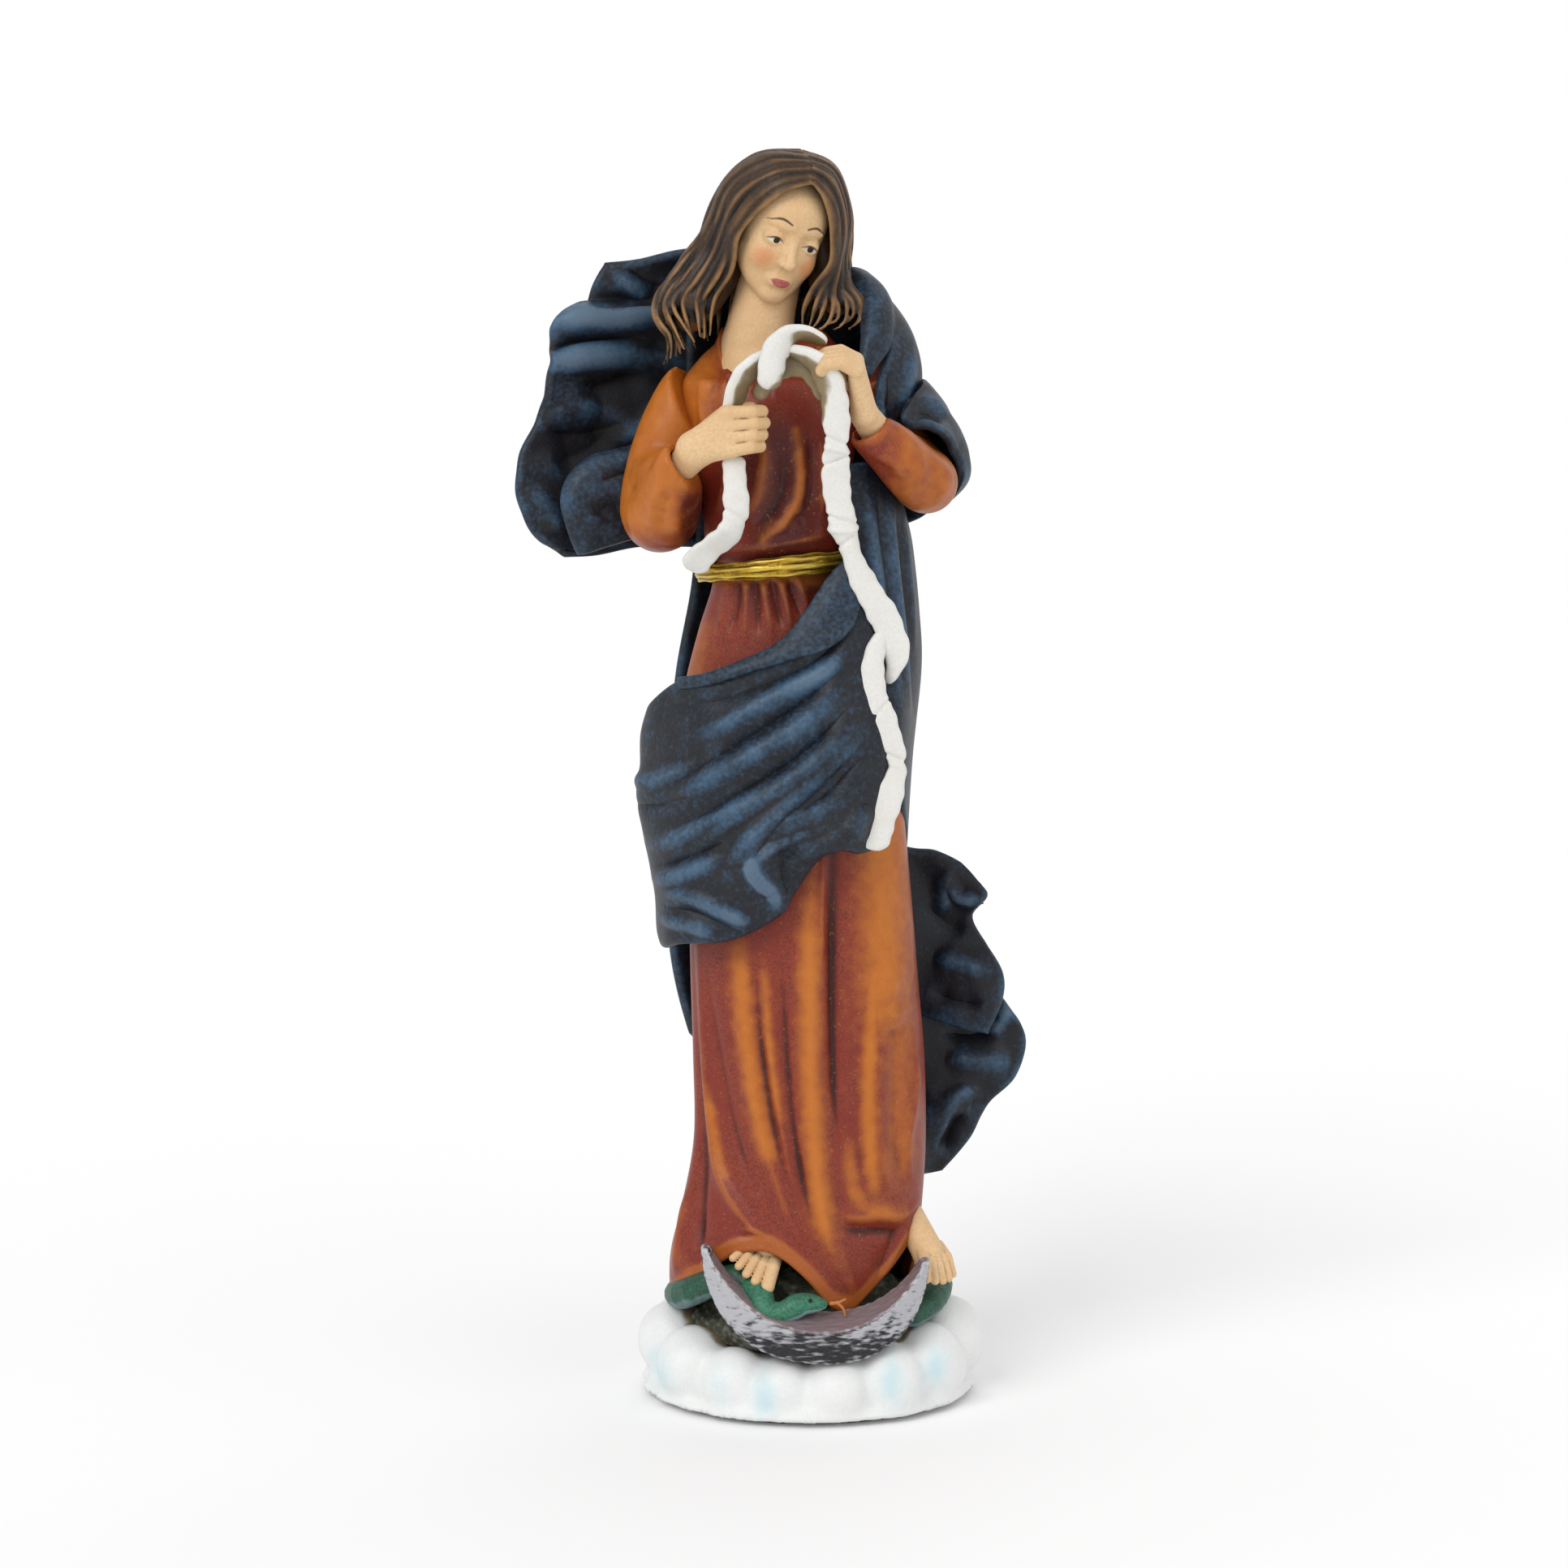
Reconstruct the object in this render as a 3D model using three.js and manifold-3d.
// A hand-painted cast-resin Madonna figurine, standing on a crescent moon and a serpent above a
// ring of cloud, and holding a knotted ribbon. It has no moving parts: every piece is cast on its
// own and glued to its neighbours over a thin glue line, with two steel pins inside.
// Millimetres, +Z up, the figure looks along -Y, and the origin is the middle of the underside.
import * as THREE from "three";
import { mergeVertices } from "three/addons/utils/BufferGeometryUtils.js";
import Module from "manifold-3d";

// ---- Driving dimensions -------------------------------------------------------------------
const GLUE_LINE = 0.3; // gap that every glued joint leaves
const FELT_THICKNESS = 1;
const FELT_SHARE = 0.84; // of the base's width and depth
const BASE = { halfWidth: 30, halfDepth: 26.5, rim: 15.5, well: 10.5 };
const PUFFS = 9; // cloud puffs round the base
const MOUND = { x: 0, y: -1.5, halfWidth: 21, halfDepth: 16.5, bottom: 10.9, top: 18 };
const MOON = { x: 1, y: -20.2, z: 29.4, radius: 19, bite: 22.4, lift: 9.6, depth: 6.4 };
const WAIST = { x: -4.9, y: -1, z: 141.6, halfWidth: 11, halfDepth: 8.6, tilt: 0.12 };
const BELT = { height: 4.2, thickness: 1.3, slack: 0.9 };
const HEAD = { x: -4.9, y: -1.2, z: 196.4, halfWidth: 8.3, halfDepth: 9.8, halfHeight: 10.4 };
const HEAD_TILT = { forward: 0.2, sideways: 0.26, turn: 0.36 };
const HAIR_THICKNESS = 2.1;
const CLOTH_THICKNESS = 2;
const RIBBON = { width: 4.4, thickness: 1.3 };
const PIN_RADIUS = 1.2;
const MERGE_DISTANCE = 1e-4; // vertices closer than this are one

const PAINT = {
  felt: { color: 0x5c4a36, roughness: 1 },
  cloud: { color: 0xeef1ee, roughness: 0.5 },
  rock: { color: 0x4a4a3c, roughness: 0.8 },
  silver: { color: 0xa9a9b0, roughness: 0.45, metalness: 0.3 },
  serpent: { color: 0x3f7f60, roughness: 0.5 },
  tongue: { color: 0xa34e22, roughness: 0.6 },
  skin: { color: 0xe0bd8e, roughness: 0.5 },
  robe: { color: 0x9c4220, roughness: 0.4 },
  gold: { color: 0xa8862a, roughness: 0.3, metalness: 0.9 },
  hair: { color: 0x5b4026, roughness: 0.5 },
  ribbon: { color: 0xefece6, roughness: 0.45 },
  mantle: { color: 0x2c3440, roughness: 0.5 },
  steel: { color: 0x9a9a9a, roughness: 0.35, metalness: 1 },
};

const wasm = await Module();
wasm.setup();

// ---- Shaping helpers ----------------------------------------------------------------------

const { sin, cos, abs, PI } = Math;
const at = (x, y, z) => new THREE.Vector3(x, y, z);
const bump = (value, centre, width) => Math.exp(-(((value - centre) / width) ** 2));

// A geometry with shared vertices and nothing but positions, its faces pointing out.
function closed(geometry) {
  const plain = geometry.clone();
  plain.deleteAttribute("normal");
  plain.deleteAttribute("uv");
  const merged = mergeVertices(plain, MERGE_DISTANCE);
  const corners = merged.index.array;
  const [a, b, c] = [at(), at(), at()];
  let volume = 0;
  for (let i = 0; i < corners.length; i += 3) {
    [a, b, c].forEach((p, k) => p.fromBufferAttribute(merged.attributes.position, corners[i + k]));
    volume += a.dot(b.cross(c));
  }
  if (volume < 0) corners.reverse();
  return merged;
}

// The same shape with every vertex moved out by a distance, for cutting room into a neighbour.
function grown(geometry, distance) {
  const fat = closed(geometry);
  fat.computeVertexNormals();
  const { position, normal } = fat.attributes;
  for (let i = 0; i < position.count; i++) {
    const p = at().fromBufferAttribute(position, i);
    position.setXYZ(i, ...p.addScaledVector(at().fromBufferAttribute(normal, i), distance));
  }
  return fat;
}

function toSolid(geometry) {
  const merged = closed(geometry);
  const mesh = { numProp: 3, vertProperties: merged.attributes.position.array };
  return new wasm.Manifold(new wasm.Mesh({ ...mesh, triVerts: new Uint32Array(merged.index.array) }));
}

function toGeometry(solid) {
  const { vertProperties, triVerts, numProp, numVert } = solid.getMesh();
  const positions = new Float32Array(numVert * 3);
  for (let i = 0; i < numVert; i++)
    positions.set(vertProperties.subarray(i * numProp, i * numProp + 3), i * 3);
  return new THREE.BufferGeometry()
    .setAttribute("position", new THREE.BufferAttribute(positions, 3))
    .setIndex(new THREE.BufferAttribute(triVerts, 1));
}

const joined = (...geometries) =>
  toGeometry(geometries.map(toSolid).reduce((whole, piece) => whole.add(piece)));

// Moves every vertex of a geometry by a function of its place.
function moulded(geometry, place) {
  const { position } = geometry.attributes;
  for (let i = 0; i < position.count; i++)
    position.setXYZ(i, ...place(at().fromBufferAttribute(position, i)));
  return geometry;
}

// Rows of numbers, read at any place from 0 to 1 along them on a smooth curve.
function smoothRow(rows, along) {
  const reach = Math.min(Math.max(along, 0), 1) * (rows.length - 1);
  const first = Math.min(Math.floor(reach), rows.length - 2);
  const t = reach - first;
  const row = (k) => rows[Math.min(Math.max(k, 0), rows.length - 1)];
  return row(first).map((p1, k) => {
    const [p0, p2, p3] = [row(first - 1)[k], row(first + 1)[k], row(first + 2)[k]];
    const [slope1, slope2] = [(p2 - p0) / 2, (p3 - p1) / 2];
    return (
      (2 * t ** 3 - 3 * t ** 2 + 1) * p1 +
      (t ** 3 - 2 * t ** 2 + t) * slope1 +
      (3 * t ** 2 - 2 * t ** 3) * p2 +
      (t ** 3 - t ** 2) * slope2
    );
  });
}

// A standing form through level sections, each [height, x, y, half width, half depth].
// Angle 0 is straight ahead of the figure, and folds(angle, height) scales the section.
function standing(sections, around, along, folds = () => 1) {
  return moulded(new THREE.CylinderGeometry(1, 1, 1, around, along), ({ x, y, z }) => {
    const [height, middleX, middleY, halfWidth, halfDepth] = smoothRow(sections, y + 0.5);
    const size = folds(Math.atan2(x, z), height);
    return [middleX + x * halfWidth * size, middleY - z * halfDepth * size, height];
  });
}

// A round limb through stations, each [x, y, z, radius] or [x, y, z, radius, flatness].
function limb(stations, around, along) {
  const path = new THREE.CatmullRomCurve3(stations.map(([x, y, z]) => at(x, y, z)));
  const frames = path.computeFrenetFrames(along, false);
  const rows = stations.map(([x, y, z, radius, flatness = 1]) => [x, y, z, radius, flatness]);
  return moulded(new THREE.CylinderGeometry(1, 1, 1, around, along), ({ x, y, z }) => {
    const step = Math.round((y + 0.5) * along);
    const t = path.getUtoTmapping(step / along);
    const [, , , radius, flatness] = smoothRow(rows, t);
    return path
      .getPointAt(step / along)
      .addScaledVector(frames.normals[step], x * radius)
      .addScaledVector(frames.binormals[step], z * radius * flatness);
  });
}

// A sheet of cast cloth through a grid of points, rows running from its top to its bottom.
function drape(grid, across, down, thickness = CLOTH_THICKNESS) {
  const surface = (u, v) => at(...smoothRow(grid.map((row) => smoothRow(row, u)), v));
  const nudge = 1e-3;
  return moulded(new THREE.BoxGeometry(1, 1, 1, across, down, 1), ({ x, y, z }) => {
    const [u, v] = [x + 0.5, 0.5 - y];
    const [u0, v0] = [Math.min(u, 1 - nudge), Math.min(v, 1 - nudge)];
    const here = surface(u0, v0);
    const sideways = surface(u0 + nudge, v0).sub(here);
    const normal = surface(u0, v0 + nudge).sub(here).cross(sideways).normalize();
    return surface(u, v).addScaledVector(normal, z * thickness);
  });
}

// A flat band along stations, each [x, y, z, turn], where the turn rolls the band about its run.
function band(stations, along, width = RIBBON.width, thickness = RIBBON.thickness) {
  const path = new THREE.CatmullRomCurve3(stations.map(([x, y, z]) => at(x, y, z)));
  return moulded(new THREE.BoxGeometry(width, 1, thickness, 1, along, 1), ({ x, y, z }) => {
    const share = 0.5 - y;
    const run = path.getTangentAt(share);
    const [, , , turn] = smoothRow(stations, path.getUtoTmapping(share));
    const across = run.clone().cross(at(0, 1, 0)).normalize().applyAxisAngle(run, turn);
    const out = run.clone().cross(across);
    return path.getPointAt(share).addScaledVector(across, x).addScaledVector(out, z);
  });
}

function ball(x, y, z, halfWidth, halfDepth, halfHeight, around) {
  const sphere = new THREE.SphereGeometry(1, around, around * 0.7);
  return sphere.scale(halfWidth, halfDepth, halfHeight).translate(x, y, z);
}

// A finger or toe, a little thinner at every joint.
const finger = (points, radius) => limb(points.map((p, i) => [...p, radius * (1 - 0.1 * i)]), 6, 3);

const turned = (profile, around) =>
  new THREE.LatheGeometry(profile.map(([r, height]) => new THREE.Vector2(r, height)), around);

function pin(from, to) {
  const run = at(...to).sub(at(...from));
  const middle = at(...from).addScaledVector(run, 0.5);
  const turn = new THREE.Quaternion().setFromUnitVectors(at(0, 1, 0), run.clone().normalize());
  const rod = new THREE.CylinderGeometry(PIN_RADIUS, PIN_RADIUS, run.length(), 10);
  return rod.applyQuaternion(turn).translate(...middle);
}

// ---- Base ---------------------------------------------------------------------------------

function feltPad() {
  const [halfWidth, halfDepth] = [BASE.halfWidth * FELT_SHARE, BASE.halfDepth * FELT_SHARE];
  const outline = new THREE.Shape().absellipse(0, 0, halfWidth, halfDepth, 0, 2 * PI);
  const options = { depth: FELT_THICKNESS, bevelEnabled: false, curveSegments: 18 };
  return new THREE.ExtrudeGeometry(outline, options);
}

// A ring of cloud puffs round a shallow well. The ring is low in front, so the moon shows.
function cloudBase() {
  const { rim, well } = BASE;
  const profile = [
    [0, FELT_THICKNESS],
    [0.87, FELT_THICKNESS],
    [0.97, 4],
    [1, 8],
    [0.96, 12],
    [0.88, rim - 0.6],
    [0.8, rim],
    [0.72, rim - 1.2],
    [0.66, well],
    [0, well],
  ];
  return moulded(turned(profile, 36), ({ x, y, z }) => {
    const angle = Math.atan2(x, z);
    const raised = Math.max(0, (y - well) / (rim - well));
    const crease = 1 - abs(cos((PUFFS / 2) * angle + 0.6));
    const size = 1 - 0.045 * crease;
    const dip = raised * (3.6 * bump(angle, 0, 0.75) + 0.7 * crease);
    return [x * BASE.halfWidth * size, -z * BASE.halfDepth * size, y - dip];
  });
}

function groundMound() {
  const { x, y, halfWidth, halfDepth, bottom, top } = MOUND;
  const profile = [[0, bottom], [0.9, bottom], [0.93, 12], [0.86, 14.6], [0.7, 16.6], [0.4, 17.6], [0, top]];
  return moulded(turned(profile, 24), (p) => {
    const angle = Math.atan2(p.x, p.z);
    const rough = 1 + 0.04 * sin(5 * angle + 1) + 0.025 * sin(11 * angle);
    return [x + p.x * halfWidth * rough, y - p.z * halfDepth * rough, p.y];
  });
}

// The crescent is cut from one disc by a larger one, and its horns lean back from the middle.
function crescentMoon() {
  const { x, y, z, radius, bite, lift, depth } = MOON;
  const disc = (r, thick) => new THREE.CylinderGeometry(r, r, thick, 48);
  const cut = disc(bite, depth * 2).translate(0, 0, -lift);
  const crescent = toSolid(disc(radius, depth)).subtract(toSolid(cut));
  const lower = new THREE.BoxGeometry(3 * radius, 3 * depth, 2 * radius).translate(0, 0, radius + 1.6);
  return moulded(toGeometry(crescent.intersect(toSolid(lower))), (p) => {
    const share = abs(p.x) / radius;
    const taper = 1 - 0.55 * share ** 2;
    return [x + p.x, y + p.y * taper + 5.5 * share ** 2, z - p.z - 0.06 * p.x];
  });
}

const SERPENT_PATH = [
  [17, 10.5, 19, 0.7],
  [23, 1.5, 17.2, 1.7],
  [23, -7.5, 17, 2],
  [19, -13, 16.5, 1.9],
  [22.5, -2, 14.4, 1.8],
  [13, 15.5, 13.6, 2],
  [-6, 17.5, 13.6, 2.1],
  [-20.5, 9, 15.5, 2.2],
  [-22.6, -4, 18, 2.3],
  [-21.8, -11, 16.4, 2.3],
  [-15.5, -13.8, 17.6, 2.2],
];

const SERPENT_NECK = [
  [-9.5, -12.6, 19.4, 2],
  [-8.3, -15.5, 19.6, 2.1],
  [-8.4, -18.4, 18.7, 2.1],
  [-5.6, -20, 18.2, 2.1],
  [-2.2, -19.9, 18.8, 2.1],
  [0.4, -19.6, 19.5, 2.5],
  [2.4, -19.3, 19.8, 1.5],
];

const serpentBody = () => limb(SERPENT_PATH.slice(5), 7, 14);
const serpentTail = () => limb(SERPENT_PATH.slice(0, 4), 8, 8);
const serpentHead = () => limb(SERPENT_NECK, 8, 12);

function serpentTongue() {
  const stem = limb([[2.8, -19.4, 19.7, 0.5], [4.2, -19.3, 20, 0.5], [5.2, -19.2, 20.4, 0.4]], 6, 4);
  const fork = limb([[4, -19.3, 20, 0.45], [5, -19.4, 19.2, 0.4], [5.6, -19.4, 18.2, 0.3]], 6, 4);
  return joined(stem, fork);
}

// ---- Body ---------------------------------------------------------------------------------

const SKIRT_SECTIONS = [
  [18.4, -3.2, -1, 19.8, 14.6],
  [26, -2.2, -1.2, 20.6, 15],
  [40, -0.2, -0.6, 19.6, 14.6],
  [58, 0, 0, 19.6, 14],
  [76, -1, 0, 19.2, 13.8],
  [98, -2, 0, 18, 13.2],
  [120, -4, 0, 16.8, 12],
  [133, -4.8, -0.6, 13, 10],
  [141.3, -4.9, -1, 11, 8.6],
];

const BODICE_SECTIONS = [
  [141.7, -4.9, -1, 11, 8.6],
  [148, -5.2, -1.6, 11.8, 9.8],
  [157, -5.8, -2.2, 13, 11.2],
  [165, -6.4, -1.8, 14, 10.8],
  [171, -7, -0.6, 14.6, 9.4],
  [175.5, -8, 0, 12.6, 8],
  [179, -9, 0.4, 8.4, 6.8],
];

// Long pipe folds, deepest at the hem and gone at the waist.
function skirtFolds(angle, height) {
  const depth = 0.035 * Math.min(1, Math.max(0, (140 - height) / 60));
  return 1 + depth * cos(9 * angle + 0.012 * (height - 60) * sin(angle)) - depth;
}

const skirt = () => standing(SKIRT_SECTIONS, 36, 8, skirtFolds);
const bodice = () => standing(BODICE_SECTIONS, 20, 6);

// A cord belt that rises towards her left hip.
function belt() {
  const { x, y, z, halfWidth, halfDepth, tilt } = WAIST;
  const { slack } = BELT;
  const [inner, outer] = [GLUE_LINE, GLUE_LINE + BELT.thickness];
  const [low, high] = [-BELT.height / 2, BELT.height / 2];
  const section = [
    [inner, low],
    [outer, low + 0.6],
    [outer + 0.4, 0],
    [outer, high - 0.6],
    [inner, high],
    [inner, low],
  ];
  const ring = turned(section.map(([out, height]) => [halfDepth + slack + out, height]), 28);
  return moulded(ring, (p) => {
    const angle = Math.atan2(p.x, p.z);
    const placeX = x + p.x + sin(angle) * (halfWidth - halfDepth);
    return [placeX, y - p.z, z + p.y + tilt * (placeX - x)];
  });
}

const SLEEVES = {
  right: [
    [-15.5, 0, 173, 5.6],
    [-21, -0.5, 169, 6.2],
    [-24.4, -1, 160, 6.2],
    [-25.4, -2.4, 150.4, 6.4],
    [-24.6, -8, 150.6, 6],
    [-22.6, -13, 154.6, 5],
    [-20.4, -16, 158.2, 4.2],
  ],
  left: [
    [6, 0.5, 173, 5.4],
    [12, 0, 168, 5.8],
    [18, -1.5, 160, 5.8],
    [20, -5, 155.2, 5.4],
    [17, -10, 157.6, 5],
    [13, -13.6, 161, 4.6],
    [9.6, -15.6, 163.4, 4.2],
  ],
};
const sleeve = (side) => limb(SLEEVES[side], 12, 9);

// Her right hand closes round the ribbon, back of the hand to the front.
function rightHand() {
  const wrist = [-21.4, -15, 157.6, 3.1];
  const knuckles = [-10.6, -20.6, 164.4, 3.6, 0.6];
  const palm = limb([wrist, [-17.6, -18, 160.6, 3.4, 0.85], [-13.6, -20, 163.4, 3.9, 0.7], knuckles], 10, 6);
  const fingers = [0, 1, 2, 3].map((k) => {
    const z = 167 - 2 * k;
    const bend = [-6.8, -20.4, z - 0.2];
    return finger([[-12, -20.6, z - 0.6], [-8.6, -21.6, z], bend, [-7.4, -18.2, z - 0.4]], 1.35);
  });
  const thumb = finger([[-14.6, -18.6, 165.6], [-12, -17.6, 168], [-9.4, -17.6, 167.6]], 1.45);
  return joined(palm, ...fingers, thumb);
}

// Her left hand rises from the cuff, bends at the knuckles and pinches the ribbon.
function leftHand() {
  const wrist = [10.6, -15, 162.6, 2.9];
  const knuckles = [6.8, -20.4, 174.4, 2.9, 0.8];
  const palm = limb([wrist, [8.4, -17.4, 165.6, 2.7], [7.8, -19.2, 170.4, 2.9, 0.8], knuckles], 10, 6);
  const fingers = [0, 1, 2, 3].map((k) => {
    const y = -18.6 - 1.3 * k;
    const bend = [4.4, y - 0.6, 177.2 - 0.3 * k];
    return finger([[6.6, y, 175], bend, [2, y - 0.6, 176.2 - 0.4 * k], [0.8, y, 174.6 - 0.2 * k]], 1.2);
  });
  const thumb = finger([[6.2, -22.2, 172.4], [4, -23.2, 173.6], [1.8, -23.2, 174.4]], 1.3);
  return joined(palm, ...fingers, thumb);
}

// A bare foot whose toes point along the last stretch of its path, fanned across a direction.
function foot(instep, across, toeLength) {
  const body = limb(instep, 10, 4);
  const [[x0, y0, z0], [x1, y1, z1, width]] = instep.slice(-2);
  const ahead = at(x1 - x0, y1 - y0, z1 - z0).normalize();
  const toes = [0, 1, 2, 3, 4].map((k) => {
    const side = at(...across).multiplyScalar((k - 2) * width * 0.42);
    const root = at(x1, y1, z1).add(side).addScaledVector(ahead, -1);
    const tip = root.clone().addScaledVector(ahead, toeLength * (1.25 - 0.14 * k) + 1);
    const middle = root.clone().lerp(tip, 0.55).add(at(0, 0, 0.3));
    return finger([root, middle, tip].map((p) => p.toArray()), 1.05 - 0.08 * k);
  });
  return joined(body, ...toes);
}

function rightFoot() {
  const instep = [
    [-6.4, -7, 27.6, 3],
    [-6.6, -12, 26.4, 3.4, 0.8],
    [-7.6, -16, 24.6, 3.5, 0.6],
  ];
  return foot(instep, [0.95, -0.25, -0.1], 2.8);
}

function leftFoot() {
  const instep = [
    [16.6, -3, 31, 2.8],
    [18.6, -5.6, 27.6, 2.9, 0.9],
    [20.4, -8, 23.4, 2.8, 0.7],
  ];
  return foot(instep, [-0.75, -0.6, 0.2], 2.4);
}

// ---- Head ---------------------------------------------------------------------------------

// Head shapes are made upright about the middle of the skull, and then tilted into place.
function tilted(geometry) {
  const { forward, sideways, turn } = HEAD_TILT;
  const pose = new THREE.Matrix4().makeRotationFromEuler(new THREE.Euler(forward, sideways, turn, "YZX"));
  return geometry.applyMatrix4(pose).translate(HEAD.x, HEAD.y, HEAD.z);
}

function headWithNeck() {
  const { halfWidth, halfDepth, halfHeight } = HEAD;
  const skull = tilted(ball(0, 0.6, 1.4, halfWidth, halfDepth, halfHeight, 16));
  const jaw = tilted(ball(0, -3.4, -6.2, halfWidth * 0.72, halfDepth * 0.6, halfHeight * 0.66, 12));
  const nose = tilted(limb([[0, -8.6, 0.6, 0.5], [0, -10.4, -3, 1.1], [0, -9, -4.2, 1]], 6, 3));
  const neckStations = [
    [-9.2, 0.8, 170.5, 6.4],
    [-8.9, 0.2, 177, 6.1],
    [-7.2, -0.6, 184, 5.9],
    [-5.6, -0.4, 192, 5.6],
  ];
  const neck = limb(neckStations, 12, 4);
  return joined(skull, jaw, nose, neck);
}

// The hair over the skull, open at the face, parted and drawn back to both sides.
function hairCap() {
  const { halfWidth, halfDepth, halfHeight } = HEAD;
  const grow = HAIR_THICKNESS;
  const [deep, tall] = [halfDepth + grow - 0.4, halfHeight + grow - 0.4];
  const cap = toSolid(tilted(ball(0, 1.2, 1.6, halfWidth + grow, deep, tall, 14)));
  const face = toSolid(tilted(ball(0, -9.6, -4.4, halfWidth, 7.4, 12.4, 12)));
  const under = toSolid(tilted(new THREE.BoxGeometry(40, 40, 20).translate(0, 0, -17)));
  return toGeometry(cap.subtract(face).subtract(under));
}

const HAIR_FALLS = {
  hair_right_side: [
    [-10.6, 0, 203, 3.6],
    [-12.6, 0.4, 196, 4.6],
    [-15.4, 1, 190, 5],
    [-19.4, 0.6, 184.4, 6],
    [-21, -2, 178.6, 4.8],
    [-23, -4.4, 174.4, 1.2],
  ],
  hair_left_side: [
    [1.4, 0, 201.6, 3],
    [2.4, 0.4, 194.6, 4],
    [3, 0.6, 189, 4.6],
    [4, -1, 183.8, 5],
    [6.8, -4, 179.6, 2.4],
  ],
  hair_back: [
    [-5.4, 5, 200, 6.4],
    [-5.8, 5.4, 192, 6.4],
    [-7.6, 4.6, 184, 6],
    [-8.4, 3.8, 178.4, 3.4],
  ],
};
const hairFall = (name) => limb(HAIR_FALLS[name], 9, 6);

// ---- Ribbon -------------------------------------------------------------------------------

const RIBBON_RUNS = {
  // Below her right hand.
  ribbon_tail_right: [
    [-18.6, -13, 142.6, 0.2],
    [-15.6, -15, 146, 0.6],
    [-12.6, -17, 149.4, 0.4],
    [-12, -18.2, 154, 0],
    [-12.4, -18.6, 158, 0],
  ],
  // The arch between the two hands.
  ribbon_loop: [
    [-12.4, -18.6, 168.6, 0],
    [-11, -19.2, 172, 0.2],
    [-7.2, -20.6, 174.8, 0.9],
    [-4.4, -21.2, 177.8, 0.5],
    [-1.4, -21.4, 178.8, 0.2],
    [1.4, -21, 178, 0.1],
  ],
  // From her left hand down to the hip, through both knots.
  ribbon_fall: [
    [2.2, -22.6, 173, 0.1],
    [4.4, -21.4, 166.6, 0],
    [4.2, -19, 160, 0.2],
    [5, -17, 153, 0],
    [6.6, -16, 146, 0.2],
    [9.6, -15.4, 139, 0.4],
    [13, -14.4, 131.6, 0.2],
  ],
  // From the twist at the hip to the free end.
  ribbon_tail_left: [
    [13.4, -14.4, 130.6, 0.2],
    [11.6, -14.6, 125, 0.6],
    [12.2, -14.2, 118.6, 0.2],
    [14, -13.8, 111.4, -0.2],
    [13, -14, 105, 0.3],
    [10.2, -15.6, 97, 0.2],
  ],
};
const KNOTS = { ribbon_knot_upper: [4.2, -19.2, 157.6], ribbon_knot_lower: [6, -17.2, 148.6] };

// ---- Mantle: each sheet is a grid of points, rows from top to bottom -------------------------

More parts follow.
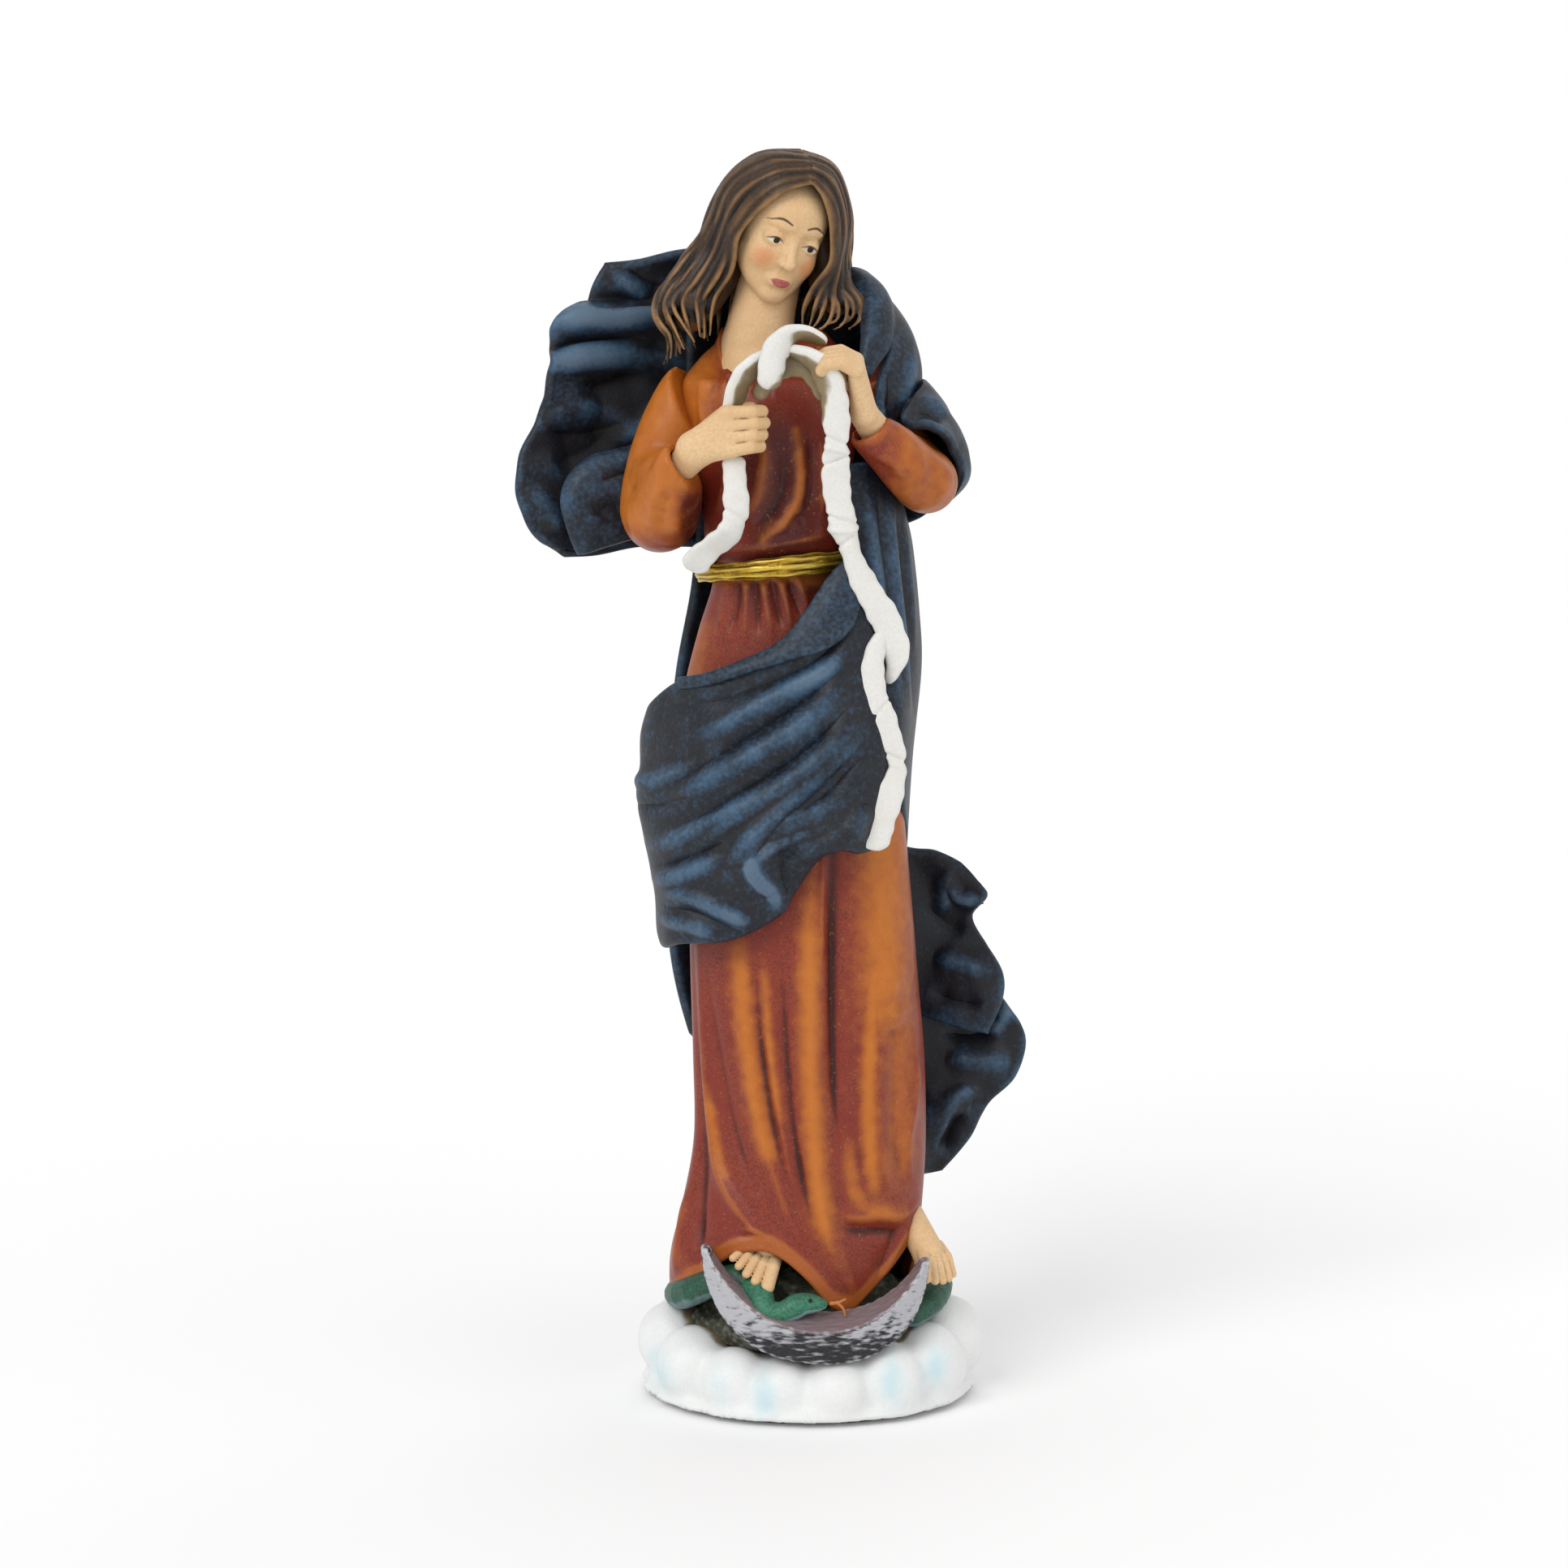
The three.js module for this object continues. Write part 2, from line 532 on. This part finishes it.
const MANTLE = {
  // Blown out behind her right shoulder, seen from the inside of the cloth.
  mantle_wing: [
    [[-10, 10, 192.6], [-20, 9, 193.6], [-28, 8, 193], [-34.8, 7, 192]],
    [[-10, 12, 187], [-20, 11, 188], [-29, 10, 187.4], [-36, 8.4, 187]],
    [[-10, 12, 181], [-21, 9.4, 182.4], [-31, 6, 183.6], [-38.5, 5, 184]],
    [[-10, 12.6, 177], [-22, 9.4, 178.5], [-33, 4.6, 180.4], [-43, 2, 181.4]],
    [[-10, 13, 170], [-23, 11, 173], [-34, 5.4, 175], [-43.4, 1, 174.8]],
    [[-10, 13, 163], [-24, 12, 166], [-36, 8, 168], [-45.8, 4, 166]],
    [[-10, 13, 157], [-25, 11, 159], [-38, 5.4, 160], [-48.5, 1, 158.4]],
    [[-12, 13, 152], [-26, 9.6, 153], [-38, 3.6, 152], [-47.6, 1, 150.6]],
    [[-14, 13, 148], [-26, 8.6, 147], [-36, 3, 144.6], [-43.6, 0.6, 144.6]],
  ],
  // The lower corner of the wing, rolled forward.
  mantle_wing_fold: [
    [[-26, 5, 160], [-31, 2, 159.6], [-36, -0.4, 158], [-39, 0.4, 156]],
    [[-27, 3.6, 155], [-33, 0.2, 155], [-38.4, -3, 153], [-41, -1, 152]],
    [[-28, 2.6, 150], [-33.6, -0.6, 150], [-38.6, -3.6, 148.4], [-41, -1.6, 147.6]],
    [[-30, 2, 146.6], [-34.6, -0.4, 145.4], [-38, -2.4, 144.2], [-40.4, -1.4, 143.8]],
  ],
  // Over her left shoulder, with its front edge turned back.
  mantle_shoulder: [
    [[2, 10, 189], [6, 8, 189.6], [8, 5, 188.6], [9, 2, 186.4]],
    [[4, 12, 184], [10, 9, 186.6], [13, 4, 185.2], [12, -2, 182]],
    [[4, 14, 178], [13, 10, 181.6], [16.4, 3, 180], [13, -5, 177]],
    [[4, 15, 171], [15, 11, 175], [17.6, 2, 174], [11.6, -7, 172]],
    [[4, 15, 163], [16, 11, 168], [17.6, 2, 167], [10.6, -7.4, 167]],
    [[4, 15, 156], [16, 11, 160], [16.6, 3, 160], [11.6, -6, 160]],
  ],
  // Hanging outside the bent left arm.
  mantle_elbow: [
    [[15, 12.4, 170], [18.6, 9.6, 171.4], [20.6, 6, 170]],
    [[15, 12.6, 164], [21, 9, 167], [24, 4, 164.8]],
    [[15, 12.6, 158], [21.6, 9, 160], [25.4, 3.4, 159.2]],
    [[15, 12.6, 152], [20.6, 9, 154], [24.4, 4.4, 152.6]],
    [[14, 12.6, 146], [17, 10, 147], [19.6, 7.6, 149]],
  ],
  // Falling from the arm past her left hip.
  mantle_side: [
    [[6.6, -10, 156], [10, -8.4, 155], [14, -3, 154], [15, 6, 153]],
    [[7, -11.4, 148], [11.4, -9.6, 148], [15, -3, 148], [15.4, 7, 148]],
    [[8, -12.6, 138], [12.4, -11, 138], [16.4, -3, 138], [16.4, 8, 138]],
    [[9, -13, 127], [14, -11.4, 127], [17.6, -3, 127], [17.4, 9, 127]],
    [[11, -12.6, 116], [15.4, -10.4, 116], [18, -2, 116], [17.6, 9, 116]],
    [[13, -11, 107.6], [16.6, -8, 107], [18.2, -2, 107], [17.6, 8, 107]],
  ],
  // Swept across the front from her left hip to her right side.
  mantle_swag: [
    [
      [4.6, -12.6, 143], [-0.6, -14, 134], [-6.4, -15, 128.6], [-14, -14.6, 124.6],
      [-21.4, -10, 122.4], [-26, -3, 116], [-24.4, 5, 114.6],
    ],
    [
      [9, -14, 134], [4, -16, 126], [-3, -17.6, 119], [-12, -17.6, 114.6],
      [-21, -12.6, 112], [-26.8, -4, 108], [-24.6, 6, 108],
    ],
    [
      [12, -14.6, 120], [6, -17.4, 113], [-2, -18.8, 107], [-11, -18.6, 102],
      [-20.4, -13, 99], [-26, -4, 96], [-24.4, 6, 96],
    ],
    [
      [11.6, -15, 107], [5.4, -18, 103], [-2, -19, 96], [-11.4, -18.2, 89.6],
      [-20, -12.6, 87.4], [-24.6, -4, 85.6], [-23.6, 6, 86],
    ],
    [
      [9, -15.6, 96], [2, -18, 95], [-4.6, -18, 86.6], [-13, -16.6, 80.6],
      [-20, -11.6, 78.8], [-23.2, -4, 77.8], [-22.4, 6, 78],
    ],
  ],
  // Down her back from shoulder to calf.
  mantle_back: [
    [[-17, 6, 186], [-10, 9.6, 190], [-3, 11, 190.4], [3, 9.6, 189]],
    [[-19, 8, 178], [-10, 12.6, 180], [-3, 13.6, 180], [4, 13, 180]],
    [[-19, 9.6, 165], [-9, 14, 165], [2, 15, 165], [12, 13, 165]],
    [[-18, 10.4, 148], [-8, 14.4, 148], [4, 15, 148], [14, 12, 148]],
    [[-21.6, 9.6, 125], [-9, 16, 125], [5, 16.4, 125], [16.4, 12, 125]],
    [[-23.4, 9, 100], [-9, 17, 100], [6, 17.4, 100], [18, 12.6, 100]],
    [[-23.6, 8.6, 78], [-9, 17, 76], [6, 18, 74], [18.6, 13, 72]],
    [[-20.6, 9.6, 58], [-9, 17, 50], [6, 18, 44], [16, 15, 40]],
  ],
  // The end of the mantle, blown out behind her left calf.
  mantle_tail: [
    [[12, 17, 92], [20, 17, 92], [23.6, 17, 90.6]],
    [[12, 18, 85], [23, 18, 87], [30.4, 18, 83]],
    [[12, 19, 77], [22, 19, 78], [29, 17, 77]],
    [[12, 19.6, 70], [25, 17, 70], [33.4, 16, 68]],
    [[12, 20, 62], [26, 20, 61], [36, 19, 62]],
    [[12, 20, 54], [27, 19, 54], [37.6, 18, 57]],
    [[12, 20, 46], [25, 16, 46], [33.4, 17, 47]],
    [[12, 19, 40], [22, 18, 39], [28.4, 18, 38.6]],
    [[13, 18, 34], [19, 18, 33.6], [23, 17.4, 33.6]],
  ],
};
const GRID_STEPS = {
  mantle_wing: [7, 10],
  mantle_wing_fold: [5, 5],
  mantle_shoulder: [6, 6],
  mantle_elbow: [4, 6],
  mantle_side: [6, 6],
  mantle_swag: [10, 7],
  mantle_back: [5, 7],
  mantle_tail: [4, 10],
};

// ---- Assembly -----------------------------------------------------------------------------

// Every piece, in the order in which it keeps its shape: each is cut clear of those before it.
const PIECES = [
  ["base_pin", "steel", () => pin([-2, 0, 4], [-2, 0, 40])],
  ["neck_pin", "steel", () => pin([-8.6, 0.4, 160], [-7.2, -0.4, 186])],
  ["felt_pad", "felt", feltPad],
  ["head", "skin", headWithNeck],
  ["right_hand", "skin", rightHand],
  ["left_hand", "skin", leftHand],
  ["right_foot", "skin", rightFoot],
  ["left_foot", "skin", leftFoot],
  ["ribbon_knot_upper", "ribbon", () => ball(...KNOTS.ribbon_knot_upper, 2.6, 1.7, 2.8, 10)],
  ["ribbon_knot_lower", "ribbon", () => ball(...KNOTS.ribbon_knot_lower, 2.8, 1.8, 3.2, 10)],
  ["serpent_head", "serpent", serpentHead],
  ["serpent_tongue", "tongue", serpentTongue],
  ["crescent_moon", "silver", crescentMoon],
  ["cloud_base", "cloud", cloudBase],
  ["serpent_body", "serpent", serpentBody],
  ["serpent_tail", "serpent", serpentTail],
  ["belt", "gold", belt],
  ["right_sleeve", "robe", () => sleeve("right")],
  ["left_sleeve", "robe", () => sleeve("left")],
  ["bodice", "robe", bodice],
  ["skirt", "robe", skirt],
  ["ground_mound", "rock", groundMound],
  ["hair_cap", "hair", hairCap],
  ...Object.keys(HAIR_FALLS).map((name) => [name, "hair", () => hairFall(name)]),
  ...Object.entries(RIBBON_RUNS).map(([name, run]) => [name, "ribbon", () => band(run, 2 * run.length)]),
  ...Object.entries(MANTLE).map(([name, grid]) => [name, "mantle", () => drape(grid, ...GRID_STEPS[name])]),
];

const largest = (solid) => solid.decompose().sort((a, b) => b.volume() - a.volume())[0];

const madonna = new THREE.Group();
madonna.name = "madonna_statue";
const rooms = []; // what each piece already placed takes from the pieces after it
for (const [name, paint, shape] of PIECES) {
  const geometry = shape();
  const cut = rooms.reduce((solid, room) => solid.subtract(room), toSolid(geometry));
  const mesh = new THREE.Mesh(toGeometry(largest(cut)), new THREE.MeshStandardMaterial(PAINT[paint]));
  mesh.name = name;
  madonna.add(mesh);
  rooms.push(toSolid(grown(geometry, GLUE_LINE)));
}

export default madonna;
